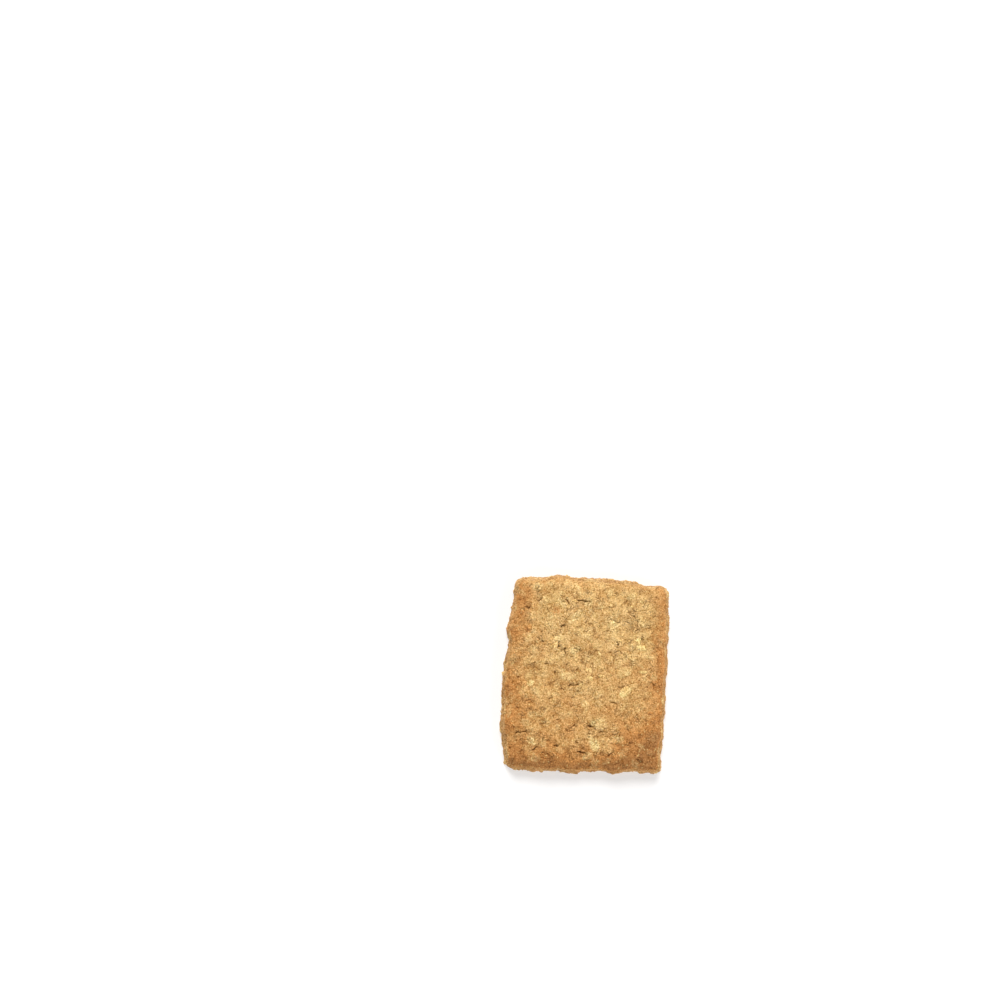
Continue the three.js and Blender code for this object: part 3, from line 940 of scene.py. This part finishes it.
# %% One ball, many places
def ball(rows, points):
    """Unit ball: rings between two poles, its faces outwards, and a flat-map place for each face corner."""
    polar = np.pi * np.arange(1, rows + 1) / (rows + 1)
    turn = 2 * np.pi * np.arange(points) / points
    polar, turn = np.meshgrid(polar, turn, indexing="ij")
    ring = np.stack([np.sin(polar) * np.cos(turn), np.sin(polar) * np.sin(turn), np.cos(polar)], axis=-1)
    ball_points = np.vstack([ring.reshape(-1, 3), [(0, 0, 1), (0, 0, -1)]])
    ids = np.arange(rows * points).reshape(rows, points)
    after = np.roll(ids, -1, axis=1)
    sides = np.stack([ids[:-1], ids[1:], after[1:], after[:-1]], axis=-1).reshape(-1, 4)
    north_cap = np.stack([np.full(points, ids.size), ids[0], after[0]], axis=1)
    south_cap = np.stack([np.full(points, ids.size + 1), after[-1], ids[-1]], axis=1)
    caps = np.vstack([north_cap, south_cap])
    r, p = np.meshgrid(np.arange(1, rows), np.arange(points), indexing="ij")
    side_map = np.stack([p, r, p, r + 1, p + 1, r + 1, p + 1, r], axis=-1).reshape(-1, 2)
    k, none = np.arange(points), np.zeros(points)
    cap_map = np.vstack([
        np.stack([k + 0.5, none, k, none + 1, k + 1, none + 1], axis=1),
        np.stack([k + 0.5, none + rows + 1, k + 1, none + rows, k, none + rows], axis=1),
    ]).reshape(-1, 2)
    return ball_points, sides, caps, np.vstack([side_map, cap_map]) / (points, rows + 1)


print("a grain has", len(ball(3, 6)[0]), "points and a flake", len(ball(5, 12)[0]))


# %% Many balls in one piece
LOWEST = 0.03  # crumbs stay this far off the tray
PROUD = 0.12  # and stand at most this far above the solid


def many(name, shapes, axes, seats, template):
    """One piece from many bent balls. shapes holds each ball's points, axes its three directions, and
    seats its middle. Each ball has a small square of the flat map to itself."""
    ball_points, sides, caps, corner_places = template
    placed = np.einsum("npk,nkc->npc", shapes, axes) + seats[:, None, :]
    placed[..., 2] = np.clip(placed[..., 2], LOWEST, high[2] + PROUD)
    first = np.arange(len(shapes))[:, None, None] * len(ball_points)
    all_faces = (first + sides).reshape(-1, 4).tolist() + (first + caps).reshape(-1, 3).tolist()
    piece = make_piece(name, placed.reshape(-1, 3), all_faces)
    per_row = int(np.ceil(np.sqrt(len(shapes))))
    tile = np.stack(np.divmod(np.arange(len(shapes)), per_row), axis=-1)[:, None, :]
    split = 4 * len(sides)
    for_sides = (tile + 0.06 + 0.88 * corner_places[:split]).reshape(-1, 2)
    for_caps = (tile + 0.06 + 0.88 * corner_places[split:]).reshape(-1, 2)
    set_map(piece, np.vstack([for_sides, for_caps]) / per_row)
    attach(piece, "root")
    print(name, len(shapes), "shapes,", len(shapes) * (2 * len(sides) + len(caps)), "triangles")
    return piece


def upright_axes(up, along):
    """Three directions at right angles: the third is up, and the first lies as near to along as it can."""
    up = up / np.linalg.norm(up, axis=1, keepdims=True)
    side = np.cross(up, along)
    side /= np.linalg.norm(side, axis=1, keepdims=True)
    return np.stack([np.cross(side, up), side, up], axis=1)


def store_tones(piece, hosts, tone):
    """Give every vertex the numbers of the skin under its shape, and the shape's own tone."""
    each = len(piece.data.vertices) // len(hosts)
    numbers = {"toast": toast[hosts], "wall": wall[hosts], "tone": tone}
    store(piece, **{name: np.repeat(values, each) for name, values in numbers.items()})


print("each vertex of a shape carries its toast, wall and tone")

# %% Grains on the skin, crumbs at the tray edge
draw = np.random.default_rng(61)
GRAIN_COUNTS = {"top": 3300, "wall": 900, "tray edge": 480}
GRAIN_RADII = {"top": (0.11, 0.3), "wall": (0.1, 0.28), "tray edge": (0.14, 0.4)}
choices = {
    "top": np.flatnonzero((on_top > 0.5) & (hollow < 0.2) & (crack_open < 0.3)),
    "wall": np.flatnonzero((on_wall > 0.3) & (share > 0.12)),
    "tray edge": np.flatnonzero((share > 0) & (share < 0.2)),
}
hosts = [draw.choice(choices[part], count, replace=False) for part, count in GRAIN_COUNTS.items()]
radii = [draw.uniform(*GRAIN_RADII[part], count) for part, count in GRAIN_COUNTS.items()]
hosts, radii = np.concatenate(hosts), np.concatenate(radii)
grain = ball(3, 6)
dented = grain[0] * (1 + draw.normal(0, 0.14, (len(hosts), len(grain[0]), 1)))
squashed = radii[:, None] * draw.uniform(0.7, 1.2, (len(hosts), 3)) * (1, 1, 0.8)
up = skin[hosts] + draw.normal(0, 0.3, (len(hosts), 3))
axes = upright_axes(up, draw.normal(size=(len(hosts), 3)))
seats = baked[hosts] - skin[hosts] * (0.3 * radii)[:, None]
crumbs = many("oat_meal_grains", dented * squashed[:, None, :], axes, seats, grain)
store_tones(crumbs, hosts, draw.random(len(hosts)))

# %% Where the flakes stick out
# On the wall: (x, y, z, half length, half width, half thickness, how far it stands out, tone).
WALL_FLAKES = [
    (-26.0, -18.6, 1.2, 1.1, 0.7, 0.26, 0.35, 1.0), (-26.4, -1.2, 0.9, 1.4, 0.9, 0.2, 0.3, 1.0),
    (-12.6, -31.4, 0.8, 0.8, 0.6, 0.3, 0.45, 0.45), (10.3, -31.2, 0.7, 0.9, 0.6, 0.3, 0.4, 0.5),
]
RANDOM_TOP, RANDOM_WALL = 26, 60
CLEAR_OF_RIM = 4.5
SHOWS_FROM = 0.7  # a pressed flake paler than this also stands out
draw = np.random.default_rng(71)
shown = np.array([row for row in PALE_FLAKES if row[5] > SHOWS_FROM])
top_hosts = [nearest_on_top(x, y) for x, y in shown[:, :2]]
off_rim = (np.abs(box_x) < HALF[0] - CLEAR_OF_RIM) & (np.abs(box_y) < HALF[1] - CLEAR_OF_RIM)
top_hosts += draw.choice(np.flatnonzero((share == 1) & off_rim), RANDOM_TOP, replace=False).tolist()
off_corners = np.abs(box_x) / HALF[0] + np.abs(box_y) / HALF[1] < 1.9
low_wall = (on_wall > 0.6) & (share > 0.08) & (share < 0.8) & off_corners
wall_hosts = [int(np.argmin(((smooth - row[:3]) ** 2).sum(axis=1))) for row in WALL_FLAKES]
wall_hosts += draw.choice(np.flatnonzero(low_wall), RANDOM_WALL, replace=False).tolist()
hosts = np.array(top_hosts + wall_hosts)
is_wall = np.arange(len(hosts)) >= len(top_hosts)
print(len(top_hosts), "flakes on the top and", len(wall_hosts), "on the wall")

# %% Their sizes and tones
half_length = draw.uniform(0.8, 2.0, len(hosts))
half_width = half_length * draw.uniform(0.5, 0.75, len(hosts))
half_thick = draw.uniform(0.09, 0.17, len(hosts)) + 0.04 * is_wall
stands_out = draw.uniform(0.06, 0.22, len(hosts))
tone = draw.uniform(0.2, 1, len(hosts))
placed = slice(len(top_hosts), len(top_hosts) + len(WALL_FLAKES))
half_length[placed], half_width[placed], half_thick[placed] = np.array(WALL_FLAKES).T[3:6]
stands_out[placed], tone[placed] = np.array(WALL_FLAKES).T[6:]
half_length[: len(shown)], half_width[: len(shown)] = 0.8 * shown[:, 2], 0.7 * shown[:, 3]
tone[: len(shown)] = 1
print("flakes are", (2 * half_length.min()).round(1), "to", (2 * half_length.max()).round(1), "mm long")

# %% Bend them
flake = ball(5, 12)
x, y, z = flake[0].T
lobes = draw.normal(0, 0.1, (len(hosts), 1)) * np.cos(3 * np.arctan2(y, x))
outline = 1 + lobes + draw.normal(0, 0.07, (len(hosts), len(x)))
droop = draw.uniform(0.04, 0.2, (len(hosts), 1)) * (x**2 + 0.5 * y**2) * ~is_wall[:, None]
droop = droop + 0.55 * half_thick[:, None] * (z > 0) * bell(y, 0.3)  # the crease down the middle
long_way, wide_way = x * outline * half_length[:, None], y * outline * half_width[:, None]
shapes = np.stack([long_way, wide_way, z * half_thick[:, None] - droop], axis=-1)
print("bent", len(shapes), "flakes")

# %% Set them into the skin
tilt = draw.normal(0, 0.06, (len(hosts), 3)) + draw.normal(0, 0.07, (len(hosts), 3)) * is_wall[:, None]
up = np.where(is_wall[:, None], (0, 0, 1), normal[hosts]) + tilt
beside_wall = np.cross((0, 0, 1), normal[hosts]) + draw.normal(0, 0.25, (len(hosts), 3))
along = np.where(is_wall[:, None], beside_wall, draw.normal(size=(len(hosts), 3)))
turn = np.radians(shown[:, 4])
along[: len(shown)] = np.stack([np.cos(turn), np.sin(turn), 0 * turn], axis=-1)
sink = np.where(is_wall, half_width - stands_out, 0.05)
seats = baked[hosts] - normal[hosts] * sink[:, None]
flakes = many("rolled_oat_flakes", shapes, upright_axes(up, along), seats, flake)
store_tones(flakes, hosts, tone)

# %% [markdown]
# ## Toasted oats
#
# A loose grain has the dough's own colours, only more of one kind: bran, dough or oat. One material serves
# grains and flakes. It reads each shape's own tone, and how browned the skin is under it, which at the
# lower end also holds painted shade.

# %% Toasted oat
oat_look, tree, shader, where, stored = start_material("toasted oat", ("toast", "wall", "tone"))
lighter = add_node(tree, "MapRange", [stored["tone"], 0.0, 0.5, 0.0, 1.0])
paler = add_node(tree, "MapRange", [stored["tone"], 0.6, 1.0, 0.0, 0.85])
bran_like = add_node(tree, "MapRange", [stored["tone"], 0.05, 0.02, 0.0, 0.7])
plain = add_node(tree, "Mix", [lighter, DOUGH_DEEP, DOUGH], data_type="RGBA")
toned = add_node(tree, "Mix", [paler, plain, OAT], data_type="RGBA")
with_bran = add_node(tree, "Mix", [bran_like, toned, BRAN], data_type="RGBA")
on_the_wall = add_node(tree, "Math", [stored["wall"], 0.4], operation="MULTIPLY")
duller = add_node(tree, "Mix", [on_the_wall, with_bran, WALL_DOUGH], data_type="RGBA")
# The skin's browning under the shape, which at the lower end holds painted shade.
under_toast = add_node(tree, "Math", [stored["toast"], 0.9], operation="MULTIPLY")
place = ruffled(tree, where)
height = add_node(tree, "Math", [meal_height(tree, place), 0.6], operation="MULTIPLY")
coloured = meal_tone(tree, place, bake_and_shade(tree, under_toast, duller))
bump = add_node(tree, "Bump", [1.0, MM, None, height])
set_shader(tree, shader, {"Base Color": coloured, "Normal": bump, "Roughness": 0.8})
set_shader(tree, shader, {"IOR": DRY_IOR, "Specular IOR Level": SHINE})
for piece in (crumbs, flakes):
    piece.data.materials.append(oat_look)
print(oat_look.name, "has", len(tree.nodes), "nodes")

# %% [markdown]
# ## Floor, light and camera
#
# The biscuit lies on a white light table, which glows a little, as under a product on a plain white ground.
# One large soft light stands beyond the upper end, as a window would, so grains are lit on one side and
# shaded on the other, and a pale sky fills the shade. Wide distant lights fall evenly, so the floor is the
# same white everywhere. The camera looks down with a long lens, a few degrees from the left.

# %% Floor and sky
FLOOR_HALF = 3000
TABLE_GLOW = 0.42
HORIZON_GLOW, OVERHEAD_GLOW = 1.05, 0.22
BELOW = -0.03  # a little under the biscuit, so that the two never share a plane
corners = [(x * FLOOR_HALF, y * FLOOR_HALF, BELOW) for x, y in ((-1, -1), (1, -1), (1, 1), (-1, 1))]
floor = make_piece("light_table", corners, [(0, 1, 2, 3)])
floor_look, tree, shader, *_ = start_material("white light table", ())
set_shader(tree, shader, {"Base Color": linear("#c8c7c6"), "Roughness": 0.9})
set_shader(tree, shader, {"Emission Color": (1, 1, 1, 1), "Emission Strength": TABLE_GLOW})
floor.data.materials.append(floor_look)

# White round the horizon and dimmer overhead, as in a room with white walls and a dark ceiling.
world = bpy.data.worlds.new("pale studio")
world.use_nodes = True
sky = world.node_tree
towards = add_node(sky, "TexCoord", [], output=0)
upwards = add_node(sky, "SeparateXYZ", [towards], output=2)
glow = add_node(sky, "MapRange", [upwards, 0.3, 0.6, HORIZON_GLOW, OVERHEAD_GLOW])
sky.links.new(glow, sky.nodes["Background"].inputs["Strength"])
sky.nodes["Background"].inputs["Color"].default_value = (1, 1, 1, 1)
bpy.context.scene.world = world
bpy.context.scene.view_settings.view_transform = "Standard"
print("the light table is", round(2 * FLOOR_HALF * MM), "m wide")


# %% Soft lights
def soft_light(name, azimuth, elevation, width, strength):
    """A distant light, width degrees across. Azimuth turns from +Y towards +X."""
    lamp = bpy.data.lights.new(name, "SUN")
    lamp.angle, lamp.energy = np.radians(width), strength
    light = bpy.data.objects.new(name, lamp)
    a, e = np.radians(azimuth), np.radians(elevation)
    towards = Vector((np.sin(a) * np.cos(e), np.cos(a) * np.cos(e), np.sin(e)))
    light.rotation_euler = towards.to_track_quat("Z", "Y").to_euler()
    light.location = towards
    bpy.context.scene.collection.objects.link(light)


soft_light("window", -10, 42, 32, 3.1)
soft_light("front fill", 130, 28, 22, 1.3)
print([light.name for light in bpy.data.lights])

# %% Camera
PHOTO_SIDE = 1000
BISCUIT_PIXEL = np.array([585.0, 675.0])
MM_PER_PIXEL = 0.318
LENS_MM, SENSOR_MM = 100, 36
ROLL_DEGREES = 2.6
FROM_LEFT_DEGREES = 2.5

pixels_per_unit = PHOTO_SIDE * LENS_MM / SENSOR_MM
distance = pixels_per_unit * MM_PER_PIXEL * MM
offset = (BISCUIT_PIXEL - PHOTO_SIDE / 2) / pixels_per_unit
ray = Vector((offset[0], -offset[1], -1)).normalized()
looking_down = Matrix.Rotation(np.radians(ROLL_DEGREES), 4, "Z").to_quaternion()
wanted = Vector((np.sin(np.radians(FROM_LEFT_DEGREES)), 0, -np.cos(np.radians(FROM_LEFT_DEGREES))))
turned = (looking_down @ ray).rotation_difference(wanted)

camera = bpy.data.objects.new("camera", bpy.data.cameras.new("camera"))
camera.data.lens, camera.data.sensor_width = LENS_MM, SENSOR_MM
camera.data.clip_start, camera.data.clip_end = 0.01, 20
camera.rotation_mode = "QUATERNION"
camera.rotation_quaternion = turned @ looking_down
camera.location = Vector((0, 0, high[2] / 2 * MM)) - wanted * distance / abs(ray.z)
bpy.context.scene.collection.objects.link(camera)
bpy.context.scene.camera = camera
print("camera at", np.round(np.array(camera.location) / MM), "mm")
